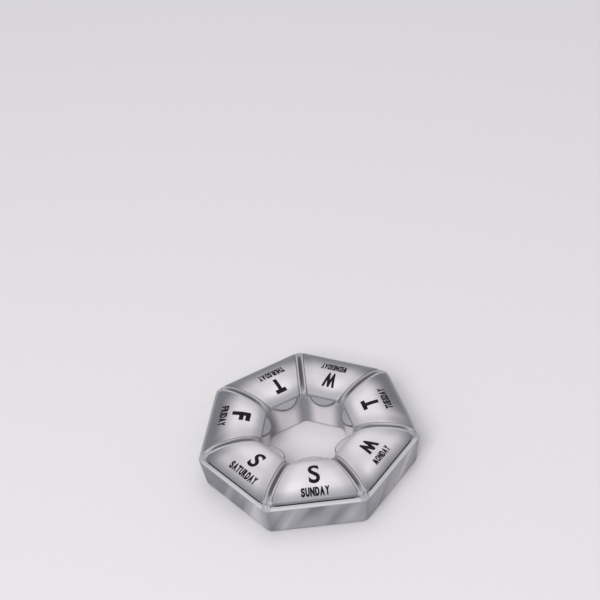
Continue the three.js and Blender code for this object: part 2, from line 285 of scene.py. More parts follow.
@dataclass(frozen=True)
class SectorCoordinates:
    """Where a point of a surface lies in its own sector of the ring, and beside the nearest rib."""

    apothem: Socket
    across: Socket
    beside_rib: Socket
    height: Socket
    side: Socket
    back: Socket
    place: Socket
    dark_side: ClassVar[Steps] = (0.0, -30 * MM, 0.0, 9 * MM)
    back_fade: ClassVar[Steps] = (18 * MM, -9 * MM)

    @classmethod
    def of(cls, shader: Shader, plan: RingPlan) -> "SectorCoordinates":
        """Works the coordinates out from Object coordinates.

        Args:
            shader: The shader that reads them.
            plan: The ring's plan.

        Returns:
            The sector coordinates. The side is the angle of the sector's middle, beside_rib has no sign,
            and back runs from 0 at the front of the ring to 1 at its back, and sooner on its left: it is the
            share of painted shade that the lids and the rim take on toward the back of the ring.
        """
        place = shader.place()
        x, y, height = shader.outputs(shader.node("ShaderNodeSeparateXYZ", {}, place), "X", "Y", "Z")
        right, front = x - plan.middle.x, plan.middle.y - y
        reach = (right * right + front * front).root()
        sector = math.tau / len(Day)
        angle = right.angle_from(front)
        local = angle.wrapped(sector / 2)
        beside = (reach * (angle + sector / 2).wrapped(sector / 2).sine()).size()
        # Painted shade: the lids and the rim are painted darker toward the back of the ring, and sooner on its
        # left.
        back = (front - right.step(*cls.dark_side)).step(*cls.back_fade)
        return cls(apothem=reach * local.cosine(), across=reach * local.sine(), beside_rib=beside,
                   height=height, side=angle - local, back=back, place=place)

    def from_front(self, front: "float | Socket", back: "float | Socket") -> Socket:
        """A value that runs from one at the ring's front to another at its back, by the share of painted shade
        there.
        """
        return front + (back - front) * self.back


@dataclass(frozen=True)
class Satin:
    """Surface of a moulded plastic: satin under a thin coat, with a fine grain."""

    roughness: float
    coat: float
    coat_roughness: float
    uneven: float = 0.08
    grain_size: float = 0.3 * MM
    grain_depth: float = 0.01 * MM
    grain_strength: float = 0.4
    refraction: float = 1.49

    def finish(self, shader: Shader, place: Socket, colour: Socket) -> bpy.types.Material:
        """Gives a shader this surface.

        Args:
            shader: The shader.
            place: Object coordinates.
            colour: The plastic's colour.

        Returns:
            The shader's material.
        """
        grain = shader.noise(place, self.grain_size)
        shader.set(Base_Color=colour, Roughness=self.roughness + self.uneven * grain, Coat_Weight=self.coat,
                   Coat_Roughness=self.coat_roughness, IOR=self.refraction)
        shader.bump(grain, self.grain_depth, self.grain_strength)
        return shader.material


@dataclass(frozen=True)
class LidPlastic:
    """Satin pearl-grey plastic of the lids: pale over the crown with random clouding, and painted shade down
    the outer shoulder, in the outer corners, toward the sides and toward the lip, more so on the lids at the
    back, with the thumb tab painted darker on the back lids and a painted dark line round its edge, for the
    refraction and shadow there. A strength that is a pair holds at the ring's front and at its back."""

    pale: Colour = (0.6, 0.565, 0.605)
    # Random clouding, and also the painted shade toward the lid's sides next to the ribs.
    cloud: Colour = (0.4, 0.385, 0.41)
    # Painted shade on the outer shoulder and in the outer corners.
    smoky: Colour = (0.075, 0.082, 0.098)
    # Painted shade toward the lip, at the lid's inner edge.
    lip: Colour = (0.27, 0.265, 0.29)
    # The tab is lighter on the front lids and painted darker, as shade, on those at the back.
    tab: Colour = (0.46, 0.44, 0.48)
    shaded_tab: Colour = (0.21, 0.205, 0.23)
    # Painted dark line round the thumb tab's edge, for the refraction and shadow there.
    edge: Colour = (0.09, 0.085, 0.1)
    front_shoulder: Steps = (35.0 * MM, 40.5 * MM)
    back_shoulder: Steps = (28.0 * MM, 37.5 * MM)
    shoulder_smoke: tuple[float, float] = (0.8, 1.0)
    side_fade: Steps = (7.5 * MM, 1.8 * MM)
    side_cloud: float = 0.8
    corner_fade: Steps = (28 * MM, 37 * MM)
    corner_smoke: tuple[float, float] = (0.35, 0.8)
    lip_fade: Steps = (18.6 * MM, 22.5 * MM, 1.0, 0.0)
    lip_shade: tuple[float, float] = (0.2, 0.9)
    tab_start: float = 0.2 * MM
    edge_fade: Steps = (0.45 * MM, 0.15 * MM)
    cloud_size: float = 18 * MM
    cloud_cover: Steps = (0.42, 0.68, 0.0, 0.6)
    surface: Satin = Satin(roughness=0.3, coat=0.25, coat_roughness=0.18)

    def material(self, plan: RingPlan, tab_middle: float, tab_radius: float) -> bpy.types.Material:
        """Builds the material.

        Args:
            plan: The ring's plan.
            tab_middle: Apothem of the middle of the thumb tab's round edge.
            tab_radius: Radius of that edge.

        Returns:
            The material.
        """
        shader = Shader("lid_plastic")
        sector = SectorCoordinates.of(shader, plan)
        clouds = shader.noise(sector.place, self.cloud_size, detail=1.0)
        # Painted shade toward the lid's sides, next to the ribs.
        side = sector.beside_rib.step(*self.side_fade)
        # Painted shade down the outer shoulder and in the outer corners by the ribs, sooner and stronger on
        # the lids at the back.
        shoulder = sector.from_front(sector.apothem.step(*self.front_shoulder),
                                     sector.apothem.step(*self.back_shoulder))
        shoulder = shoulder * sector.from_front(*self.shoulder_smoke)
        corner = side * sector.apothem.step(*self.corner_fade) * sector.from_front(*self.corner_smoke)
        painted_shade = 1.0 - (1.0 - shoulder) * (1.0 - corner)
        # Painted shade toward the lip, stronger on the lids at the back.
        lip = sector.apothem.step(*self.lip_fade) * sector.from_front(*self.lip_shade)
        colour = shader.mix(clouds.step(*self.cloud_cover), self.pale, self.cloud)
        colour = shader.mix(self.side_cloud * side, colour, self.cloud)
        colour = shader.mix(lip, colour, self.lip)
        colour = shader.mix(painted_shade, colour, self.smoky)
        inward = sector.apothem - tab_middle
        from_edge = tab_radius - (inward * inward + sector.across * sector.across).root()
        on_tab = sector.apothem.step(plan.hole_apothem, plan.hole_apothem - self.tab_start)
        # Tab colour: lighter at the front lids, with painted shade on those at the back.
        colour = shader.mix(on_tab, colour, shader.mix(sector.back, self.tab, self.shaded_tab))
        # Painted dark line round the tab's edge, for the refraction and shadow there.
        colour = shader.mix(from_edge.step(*self.edge_fade) * on_tab, colour, self.edge)
        return self.surface.finish(shader, sector.place, colour)


@dataclass(frozen=True)
class TrayPlastic:
    """Smoky grey plastic of the tray: slanting light and dark bands outside, painted for light refracted
    through the plastic, painted shade at the wall's corners and foot, a grey rim with a painted highlight
    along its edge and painted shade at the back, pale ribs with painted shade in their valley and at their
    inner ends, and hole walls painted paler against the shade in the hole, with painted shade in their corners
    and along their foot."""

    pale: Colour = (0.47, 0.445, 0.49)
    grey: Colour = (0.3, 0.295, 0.325)
    # Painted shade: the dark grey of the wall's dark bands, its corners and foot, and of the rim at the back.
    smoky: Colour = (0.13, 0.138, 0.16)
    rim: Colour = (0.38, 0.375, 0.4)
    # Painted highlight along the rim's outer edge.
    rim_edge: Colour = (0.45, 0.44, 0.465)
    ridge: Colour = (0.4, 0.385, 0.41)
    # Painted shade in the ribs' valley.
    valley: Colour = (0.11, 0.108, 0.12)
    # Hole walls, painted paler than the rest of the tray to offset the shade down in the hole.
    hole: Colour = (0.68, 0.64, 0.68)
    # Painted shade in the hole's corners, along its foot and at the ribs' inner ends.
    corner: Colour = (0.235, 0.238, 0.262)
    wall_top: Steps = (13.4 * MM, 14.0 * MM)
    band_width: float = 12 * MM
    band_slant: float = 0.55
    band_shift: float = 0.1
    band_stretch: float = 0.2
    pale_bands: Steps = (0.47, 0.62)
    smoky_bands: Steps = (0.47, 0.34)
    wall_corner: Steps = (6 * MM, 0.5 * MM, 0.0, 0.6)
    wall_foot: Steps = (1.6 * MM, 0.2 * MM, 0.0, 0.6)
    rib_side: Steps = (2.2 * MM, 1.6 * MM)
    valley_side: Steps = (1.2 * MM, 0.5 * MM)
    rib_start: Steps = (0.5 * MM, 4 * MM)
    rib_end: Steps = (6.5 * MM, 3.5 * MM)
    hole_edge: Steps = (0.9 * MM, 0.3 * MM)
    hole_foot: Steps = (1.2 * MM, 0.1 * MM, 0.0, 0.8)
    hole_corner: Steps = (5.2 * MM, 0.6 * MM)
    rim_light: Steps = (0.95 * MM, 0.65 * MM)
    rim_smoke: float = 0.8
    surface: Satin = Satin(roughness=0.32, coat=0.2, coat_roughness=0.2)

    def material(self, plan: RingPlan) -> bpy.types.Material:
        """Builds the material, from the ring's plan."""
        shader = Shader("tray_plastic")
        sector = SectorCoordinates.of(shader, plan)
        beside = sector.beside_rib
        past_hole = sector.apothem - plan.hole_apothem
        to_rim = plan.rim_apothem - sector.apothem
        above = sector.height.step(*self.wall_top)
        colour = shader.mix(above, self._wall(shader, sector), self._rim(shader, sector, to_rim))
        # Painted shade: the valley between the ribs' ridges is painted dark.
        rib = shader.mix(beside.step(*self.valley_side), self.ridge, self.valley)
        # Painted shade at the ribs' inner ends, by the hole.
        rib = shader.mix(past_hole.step(*self.rib_start), self.corner, rib)
        rib = shader.mix(to_rim.step(*self.rib_end), rib, self.grey)
        colour = shader.mix(above * beside.step(*self.rib_side), colour, rib)
        # Hole walls: painted paler against the shade in the hole, with painted shade in their corners and
        # along their foot.
        hole = shader.mix(beside.step(*self.hole_corner), self.hole, self.corner)
        hole = shader.mix(sector.height.step(*self.hole_foot), hole, self.corner)
        colour = shader.mix(past_hole.step(*self.hole_edge), colour, hole)
        return self.surface.finish(shader, sector.place, colour)

    def _wall(self, shader: Shader, sector: SectorCoordinates) -> Socket:
        """Colour of the outer wall: slanting bands, a painted pattern of light and shade refracted through the
        plastic, and painted shade at its corners and along its foot.
        """
        slanted = sector.across - self.band_slant * sector.height
        bands_at = shader.node("ShaderNodeCombineXYZ", {}, slanted, sector.side * self.band_shift,
                               sector.height * self.band_stretch)
        bands = shader.noise(bands_at, self.band_width, detail=1.0)
        # Painted light and shade: noise bands that stand for light refracted through the wall.
        colour = shader.mix(bands.step(*self.pale_bands), self.grey, self.pale)
        colour = shader.mix(bands.step(*self.smoky_bands), colour, self.smoky)
        # Painted shade at the outer wall's corners and along its foot.
        colour = shader.mix(sector.beside_rib.step(*self.wall_corner), colour, self.smoky)
        return shader.mix(sector.height.step(*self.wall_foot), colour, self.smoky)

    def _rim(self, shader: Shader, sector: SectorCoordinates, to_rim: Socket) -> Socket:
        """Colour of the rim, by the distance in from its outer side: a painted highlight band along its outer
        edge, and painted shade over all of it at the back of the ring."""
        # Painted shade over the rim at the back, and a painted highlight band along its outer edge.
        painted_shade = self.rim_smoke * sector.back
        rim = shader.mix(painted_shade, self.rim, self.smoky)
        return shader.mix(to_rim.step(*self.rim_light) * (1.0 - painted_shade), rim, self.rim_edge)


@dataclass(frozen=True)
class PrintInk:
    """Near-black pad-printed ink, a little uneven."""

    ink: Colour = (0.004, 0.004, 0.005)
    worn: Colour = (0.014, 0.013, 0.015)
    patches: Steps = (0.45, 0.75)
    speck: float = 0.5 * MM
    roughness: float = 0.5
    uneven: float = 0.15
    gloss: float = 0.08

    def material(self) -> bpy.types.Material:
        """Builds the material."""
        shader = Shader("print_ink")
        cover = shader.noise(shader.place(), self.speck, detail=3.0)
        colour = shader.mix(cover.step(*self.patches), self.ink, self.worn)
        shader.set(Base_Color=colour, Roughness=self.roughness + self.uneven * cover,
                   Specular_IOR_Level=self.gloss)
        return shader.material


@dataclass(frozen=True)
class FloorPaper:
    """Pale plain paper of the floor."""

    paper: Colour = (0.66, 0.645, 0.665)
    fibre: Colour = (0.64, 0.625, 0.645)
    fibre_size: float = 3 * MM
    roughness: float = 0.9
    gloss: float = 0.2

    def material(self) -> bpy.types.Material:
        """Builds the material."""
        shader = Shader("floor_paper")
        fibres = shader.noise(shader.place(), self.fibre_size)
        shader.set(Base_Color=shader.mix(fibres, self.paper, self.fibre), Roughness=self.roughness,
                   Specular_IOR_Level=self.gloss)
        return shader.material


def added(operator: Callable, name: str, **settings: object) -> bpy.types.Object:
    """Adds an object with one of Blender's add operators.

    Args:
        operator: The operator.
        name: The object's name.
        **settings: The operator's settings.

    Returns:
        The object, alone selected.
    """
    bpy.ops.object.select_all(action="DESELECT")
    operator(**settings)
    made = bpy.context.object
    made.name = made.data.name = name
    return made


def only(obj: bpy.types.Object) -> None:
    """Makes one object active and alone selected, in object mode."""
    if bpy.context.object and bpy.context.object.mode != "OBJECT":
        bpy.ops.object.mode_set(mode="OBJECT")
    bpy.ops.object.select_all(action="DESELECT")
    obj.select_set(True)
    bpy.context.view_layer.objects.active = obj


def edit(obj: bpy.types.Object) -> None:
    """Opens an object in edit mode with all of it selected."""
    only(obj)
    bpy.ops.object.mode_set(mode="EDIT")
    bpy.ops.mesh.select_mode(type="VERT")
    bpy.ops.mesh.select_all(action="SELECT")


def pick(obj: bpy.types.Object, test: Callable[[Vector], bool], edges: bool = False) -> None:
    """Selects, in edit mode, the vertices that pass a test, or the edges with both ends passing.

    Args:
        obj: The object that is open in edit mode.
        test: Says yes or no to a vertex's place.
        edges: Whether edges are wanted.
    """
    bpy.ops.mesh.select_all(action="DESELECT")
    bpy.ops.mesh.select_mode(type="EDGE" if edges else "VERT")
    mesh = bmesh.from_edit_mesh(obj.data)
    if edges:
        for edge in mesh.edges:
            edge.select_set(all(test(vertex.co) for vertex in edge.verts))
    else:
        for vertex in mesh.verts:
            vertex.select_set(test(vertex.co))
    bmesh.update_edit_mesh(obj.data)


def apply_modifier(obj: bpy.types.Object, kind: str, **settings: object) -> None:
    """Adds a modifier and applies it.

    Args:
        obj: The object.
        kind: The modifier's type.
        **settings: Its settings.
    """
    only(obj)
    modifier = obj.modifiers.new(kind.lower(), kind)
    for key, value in settings.items():
        setattr(modifier, key, value)
    bpy.ops.object.modifier_apply(modifier=modifier.name)


def boolean(body: bpy.types.Object, tool: bpy.types.Object, operation: str) -> None:
    """Joins a tool to a body or cuts the body with it, and deletes the tool.

    Args:
        body: The piece that stays.
        tool: The piece that is used up.
        operation: UNION or DIFFERENCE.

    Raises:
        RuntimeError: If the body lost most of its faces, which a touching edge can cause.
    """
    before = len(body.data.polygons)
    apply_modifier(body, "BOOLEAN", operation=operation, solver="EXACT", object=tool)
    if len(body.data.polygons) < before / 2:
        raise RuntimeError(f"{operation} of {body.name} with {tool.name} failed")
    bpy.data.objects.remove(tool)


def smooth(obj: bpy.types.Object, angle: float) -> None:
    """Smooths a piece's shading, with large faces kept flat.

    Args:
        obj: The piece.
        angle: Edges sharper than this stay sharp, in degrees.
    """
    only(obj)
    bpy.ops.object.shade_smooth_by_angle(angle=math.radians(angle))
    apply_modifier(obj, "WEIGHTED_NORMAL", keep_sharp=True)


@dataclass(frozen=True)
class Row:
    """One row across an arched block."""

    apothem: float
    half_width: float
    top: float
    bottom: float


@dataclass(frozen=True)
class LidShape:
    """Sizes of a lid, in the Sunday sector. Heights are over the table, apothems from the ring's axis."""

    plan: RingPlan
    crown: float
    seam: float = 0.07 * MM
    running_gap: float = 0.3 * MM
    lip_apothem: float = 17.9 * MM
    lip_height: float = 13.9 * MM
    lip_rise: float = 1.8 * MM
    wall: float = 1.3 * MM
    skirt_wall: float = 1.15 * MM
    skirt_depth: float = 1.5 * MM
    barrel_radius: float = 1.3 * MM
    barrel_bite: float = 0.065 * MM
    pin_radius: float = 0.5 * MM
    pin_length: float = 1.1 * MM
    tab_half_width: float = 5.6 * MM
    tab_reach: float = 3.1 * MM
    tab_rise: float = 0.08 * MM
    tab_drop: float = 1.15 * MM
    tab_thickness: float = 1.0 * MM
    tab_root: float = 1.3 * MM / 3
    tab_round: float = 0.3 * MM
    snap_apothem: float = 20.2 * MM
    snap_bottom: float = 11.7 * MM
    bead_radius: float = 0.32 * MM
    bead_half_width: float = 3.6 * MM
    bead_rise: float = 0.4 * MM
    arch_share: float = 2.5

    @property
    def end_apothem(self) -> float:
        """Apothem at which the arch runs into the hinge barrel."""
        return self.plan.hinge_apothem + self.barrel_radius * math.cos(math.pi / 4)

    @property
    def end_height(self) -> float:
        """Height at which the arch runs into the hinge barrel."""
        return self.plan.hinge_height + self.barrel_radius * math.sin(math.pi / 4)

    @property
    def hollow_end(self) -> float:
        """Apothem at which the hollow ends, a little way into the barrel."""
        return self.plan.hinge_apothem - self.barrel_radius + self.barrel_bite

    @property
    def tab_radius(self) -> float:
        """Radius of the thumb tab's round edge."""
        return (self.tab_half_width**2 + self.tab_reach**2) / (2 * self.tab_reach)

    @property
    def tab_middle(self) -> float:
        """Apothem of the middle of the thumb tab's round edge."""
        return self.lip_apothem - self.tab_reach + self.tab_radius

    def arch(self, apothem: float, inner: tuple[float, float], outer: tuple[float, float],
             crown: float) -> float:
        """Height of an arch that falls from its crown to one of its ends.

        Args:
            apothem: Where the height is wanted.
            inner: Apothem and height of the arch's inner end.
            outer: Apothem and height of its outer end.
            crown: Height of its crown.

        Returns:
            The height.
        """
        at = self.plan.crown_apothem
        end, height = inner if apothem < at else outer
        share = min((apothem - at) / (end - at), 1.0)
        return height + (crown - height) * (1.0 - share**self.arch_share)

    def top(self, apothem: float) -> float:
        """Height of the lid's upper face at an apothem."""
        inner = (self.lip_apothem, self.lip_height + self.lip_rise)
        return self.arch(apothem, inner, (self.end_apothem, self.end_height), self.crown)

    def bottom(self, apothem: float) -> float:
        """Height of the lower edge of the lid's side skirts at an apothem."""
        inner = (self.lip_apothem + self.wall, self.lip_height)
        outer = (self.plan.hinge_apothem, self.plan.hinge_height - self.barrel_radius / 2)
        height = self.arch(apothem, inner, outer, self.crown - self.wall - self.skirt_depth)
        return min(height, self.plan.hinge_height)

    def half_width(self, apothem: float, inset: float = 0.0) -> float:
        """Half the lid's width at an apothem, less an inset at its side. It stops growing at the hinge."""
        half_angle = math.pi / len(Day)
        beside = (self.plan.rib_half + self.seam + inset) / math.cos(half_angle)
        return min(apothem, self.plan.hinge_apothem) * math.tan(half_angle) - beside


@dataclass
class LidMaker:
    """Models one lid on the Sunday side: an arched shell with skirts, a snap bead, a thumb tab, a hinge
    barrel and two stub pins."""

    shape: LidShape
    columns: int = 10
    row_pitch: float = 0.9 * MM
    side_round: float = 0.45 * MM
    round_segments: int = 4
    end_segments: int = 2
    barrel_sides: int = 48
    pin_sides: int = 24
    bead_sides: int = 16
    tab_sides: int = 144
    tab_segments: int = 3
    smooth_angle: float = 40.0
    aside: float = 1.0
    below: float = 0.1

    def build(self) -> bpy.types.Object:
        """Models the lid.

        Returns:
            The lid, in its place on the Sunday side.
        """
        shape = self.shape
        lid = self._block("lid_master", self._rows(shape.lip_apothem, shape.end_apothem, 0.0))
        self._round_edges(lid)
        hollow_rows = self._rows(shape.lip_apothem + shape.wall, shape.hollow_end, shape.skirt_wall)
        boolean(lid, self._block("hollow", hollow_rows), "DIFFERENCE")
        for part in (self._snap_skirt(), self._snap_bead(), self._tab(), self._barrel(), self._pins()):
            boolean(lid, part, "UNION")
        edit(lid)
        bpy.ops.mesh.remove_doubles(threshold=0.001 * MM)
        bpy.ops.object.mode_set(mode="OBJECT")
        lid.data.transform(Matrix.Translation(shape.plan.middle))
        smooth(lid, self.smooth_angle)
        return lid

    def _rows(self, start: float, end: float, inset: float) -> list[Row]:
        """Rows of the lid's outside, or of the hollow under it.

        Args:
            start: Apothem of the first row.
            end: Apothem of the last row.
            inset: Distance in from the lid's side. Over 0, the rows are the hollow's.

        Returns:
            The rows, from the hole outwards.
        """
        shape = self.shape
        count = round((end - start) / self.row_pitch)
        rows = []
        for index in range(count + 1):
            apothem = start + (end - start) * index / count
            top, bottom = shape.top(apothem), shape.bottom(apothem)
            if inset > 0:
                top, bottom = top - shape.wall, shape.lip_height - shape.wall
            rows.append(Row(apothem, shape.half_width(apothem, inset), top, bottom))
        return rows

    def _block(self, name: str, rows: list[Row]) -> bpy.types.Object:
        """A block between two arched faces, drawn out of a flat grid row by row. The grid starts aside,
        and its lower face below the table, so that a row not yet placed is told from a placed one.

        Args:
            name: The block's name.
            rows: Its rows.

        Returns:
            The closed block.
        """
        count = len(rows) - 1
        block = added(bpy.ops.mesh.primitive_grid_add, name, x_subdivisions=self.columns,
                      y_subdivisions=count, size=1.0)
        edit(block)
        bpy.ops.transform.translate(value=(0.0, self.aside, 0.0))
        for index, row in enumerate(rows):
            y = self.aside + 0.5 - index / count
            pick(block, lambda place: abs(place.y - y) < 0.25 / count)
            bpy.ops.transform.resize(value=(2 * row.half_width, 1.0, 1.0), center_override=(0.0, 0.0, 0.0))
            bpy.ops.transform.translate(value=(0.0, -row.apothem - y, row.top))
        bpy.ops.mesh.select_all(action="SELECT")
        bpy.ops.mesh.extrude_region_move(TRANSFORM_OT_translate={"value": (0.0, 0.0, -self.below)})
        near = self.row_pitch / 8
        for row in rows:
            pick(block, lambda place: place.z < 0 and abs(place.y + row.apothem) < near)
            bpy.ops.transform.translate(value=(0.0, 0.0, row.bottom - row.top + self.below))
        bpy.ops.mesh.select_all(action="SELECT")
        bpy.ops.mesh.normals_make_consistent(inside=False)
        bpy.ops.object.mode_set(mode="OBJECT")
        return block

    def _round_edges(self, block: bpy.types.Object) -> None:
        """Rounds the long side edges of a lid's upper face and the edge over its lip.

        Args:
            block: The lid's solid outside.
        """
        shape = self.shape
        near = 0.02 * MM

        def on_outline(place: Vector) -> bool:
            apothem = -place.y
            if abs(place.z - shape.top(apothem)) > near:
                return False
            beside = abs(abs(place.x) - shape.half_width(apothem)) < near
            return beside or abs(apothem - shape.lip_apothem) < near

        edit(block)
        pick(block, on_outline, edges=True)
        bpy.ops.mesh.bevel(offset=self.side_round, segments=self.round_segments, affect="EDGES",
                           offset_type="OFFSET", clamp_overlap=True)
        bpy.ops.object.mode_set(mode="OBJECT")

    def _bar(self, name: str, radius: float, half_length: float, place: tuple[float, float],
             round_off: float, sides: int) -> bpy.types.Object:
        """A round bar across the sector, with rounded ends.

        Args:
            name: The bar's name.
            radius: Its radius.
            half_length: Half its length.
            place: Apothem and height of its axis.
            round_off: Radius of the edges of its ends.
            sides: Its number of sides.

        Returns:
            The bar.
        """
        bar = added(bpy.ops.mesh.primitive_cylinder_add, name, vertices=sides, radius=radius,
                    depth=2 * half_length)
        edit(bar)
        for end in (-half_length, half_length):
            pick(bar, lambda at: abs(at.z - end) < radius / 100, edges=True)
            bpy.ops.mesh.bevel(offset=round_off, segments=self.end_segments, affect="EDGES")
        bpy.ops.object.mode_set(mode="OBJECT")
        turn = Matrix.Rotation(math.pi / 2, 4, "Y")
        bar.data.transform(Matrix.Translation((0.0, -place[0], place[1])) @ turn)
        return bar

    def _snap_skirt(self) -> bpy.types.Object:
        """The inner skirt, which reaches down inside the pocket's inner wall."""
        shape = self.shape
        half_width = shape.half_width(shape.snap_apothem, shape.skirt_wall / 2)
        top = shape.top(shape.snap_apothem) - shape.wall / 2
        low = Vector((-half_width, -shape.snap_apothem - shape.skirt_wall, shape.snap_bottom))
        high = Vector((half_width, -shape.snap_apothem, top))
        skirt = added(bpy.ops.mesh.primitive_cube_add, "snap_skirt", size=1.0)
        edit(skirt)
        bpy.ops.transform.resize(value=high - low, center_override=(0.0, 0.0, 0.0))
        bpy.ops.transform.translate(value=(low + high) / 2)
        bpy.ops.mesh.bevel(offset=shape.skirt_wall / 8, segments=self.end_segments, affect="EDGES")
        bpy.ops.object.mode_set(mode="OBJECT")
        return skirt

    def _snap_bead(self) -> bpy.types.Object:
        """The bead along the inner skirt, which clips under the one on the inner wall."""
        shape = self.shape
        place = (shape.snap_apothem, shape.snap_bottom + shape.bead_rise)
        return self._bar("snap_bead", shape.bead_radius, shape.bead_half_width, place,
                         shape.bead_radius / 4, self.bead_sides)

    def _barrel(self) -> bpy.types.Object:
        """The hinge barrel."""
        shape = self.shape
        half_length = shape.half_width(shape.plan.hinge_apothem)
        place = (shape.plan.hinge_apothem, shape.plan.hinge_height)
        return self._bar("barrel", shape.barrel_radius, half_length, place, shape.barrel_radius / 10,
                         self.barrel_sides)

    def _pins(self) -> bpy.types.Object:
        """Both stub pins, as one bar through the barrel."""
        shape = self.shape
        half_angle = math.pi / len(Day)
        beside = (shape.plan.rib_half + shape.running_gap) / math.cos(half_angle)
        half_length = shape.plan.hinge_apothem * math.tan(half_angle) - beside + shape.pin_length
        place = (shape.plan.hinge_apothem, shape.plan.hinge_height)
        return self._bar("pins", shape.pin_radius, half_length, place, shape.pin_radius / 4, self.pin_sides)

    def _tab(self) -> bpy.types.Object:
        """The thumb tab: a disc cut off behind the lip, thickened, rounded and tilted into the hole."""
        shape = self.shape
        root = shape.lip_apothem + shape.tab_root
        tab = added(bpy.ops.mesh.primitive_circle_add, "tab", vertices=self.tab_sides,
                    radius=shape.tab_radius, fill_type="NGON")
        edit(tab)
        bpy.ops.transform.translate(value=(0.0, -shape.tab_middle, 0.0))
        bpy.ops.mesh.bisect(plane_co=(0.0, -root, 0.0), plane_no=(0.0, -1.0, 0.0), clear_outer=True)
        bpy.ops.mesh.select_all(action="SELECT")
        thickness = (0.0, 0.0, shape.tab_thickness)
        bpy.ops.mesh.extrude_region_move(TRANSFORM_OT_translate={"value": thickness})
        bpy.ops.mesh.select_all(action="SELECT")
        bpy.ops.mesh.normals_make_consistent(inside=False)
        for level in (0.0, shape.tab_thickness):
            pick(tab, lambda place: abs(place.z - level) < 0.01 * MM, edges=True)
            bpy.ops.mesh.bevel(offset=shape.tab_round, segments=self.tab_segments, affect="EDGES")
        bpy.ops.object.mode_set(mode="OBJECT")
        tilt = Matrix.Rotation(-math.asin(shape.tab_drop / shape.tab_reach), 4, "X")
        lip = Matrix.Translation((0.0, -shape.lip_apothem, shape.lip_height + shape.tab_rise))
        tab.data.transform(lip @ tilt @ Matrix.Translation((0.0, shape.lip_apothem, 0.0)))
        return tab


@dataclass
class Tray:
    """The ring tray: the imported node's form, merged and smoothed."""

    plan: RingPlan
    finish: TrayPlastic = field(default_factory=TrayPlastic)
    merge_distance: float = 0.002 * MM
    flat_angle: float = 0.4
    smooth_angle: float = 38.0

    def build(self) -> None:
        """Builds and dresses the tray."""
        shell = bpy.data.objects.new("tray_shell", frame["nodes"]["tray"].data.copy())
        bpy.context.scene.collection.objects.link(shell)
        shell.data.materials.clear()
        edit(shell)
        bpy.ops.mesh.remove_doubles(threshold=self.merge_distance)
        bpy.ops.mesh.dissolve_limited(angle_limit=math.radians(self.flat_angle))
        bpy.ops.object.mode_set(mode="OBJECT")
        smooth(shell, self.smooth_angle)
        shell.data.materials.append(self.finish.material(self.plan))
        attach(shell, "tray")
        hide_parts("tray")
        log.info("%s: %d faces", shell.name, len(shell.data.polygons))


@dataclass
class Lids:
    """The seven lids, copied round the ring from one master, each with its own print."""

    plan: RingPlan
    shape: LidShape
    finish: LidPlastic = field(default_factory=LidPlastic)
    ink: PrintInk = field(default_factory=PrintInk)

    def build(self) -> None:
        """Builds and dresses all lids and their prints."""
        plastic = self.finish.material(self.plan, self.shape.tab_middle, self.shape.tab_radius)
        ink = self.ink.material()
        master = LidMaker(self.shape).build()
        for day in Day:
            letters = DayPrint(day, self.plan).build(master)
            self._dress(letters, f"{day.lid_name}_print", day, ink)
            only(master)
            bpy.ops.object.duplicate()
            shell = bpy.context.object
            self._dress(shell, f"{day.lid_name}_shell", day, plastic)
            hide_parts(day.lid_name)
        bpy.data.objects.remove(master)

    def _dress(self, piece: bpy.types.Object, name: str, day: Day, material: bpy.types.Material) -> None:
        """Turns a piece from the Sunday side to its own day and gives it its name, finish and body."""
        piece.name = piece.data.name = name
        piece.data.transform(self.plan.turned(day))
        piece.data.materials.clear()
        piece.data.materials.append(material)
        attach(piece, day.lid_name)
        log.info("%s: %d faces", name, len(piece.data.polygons))


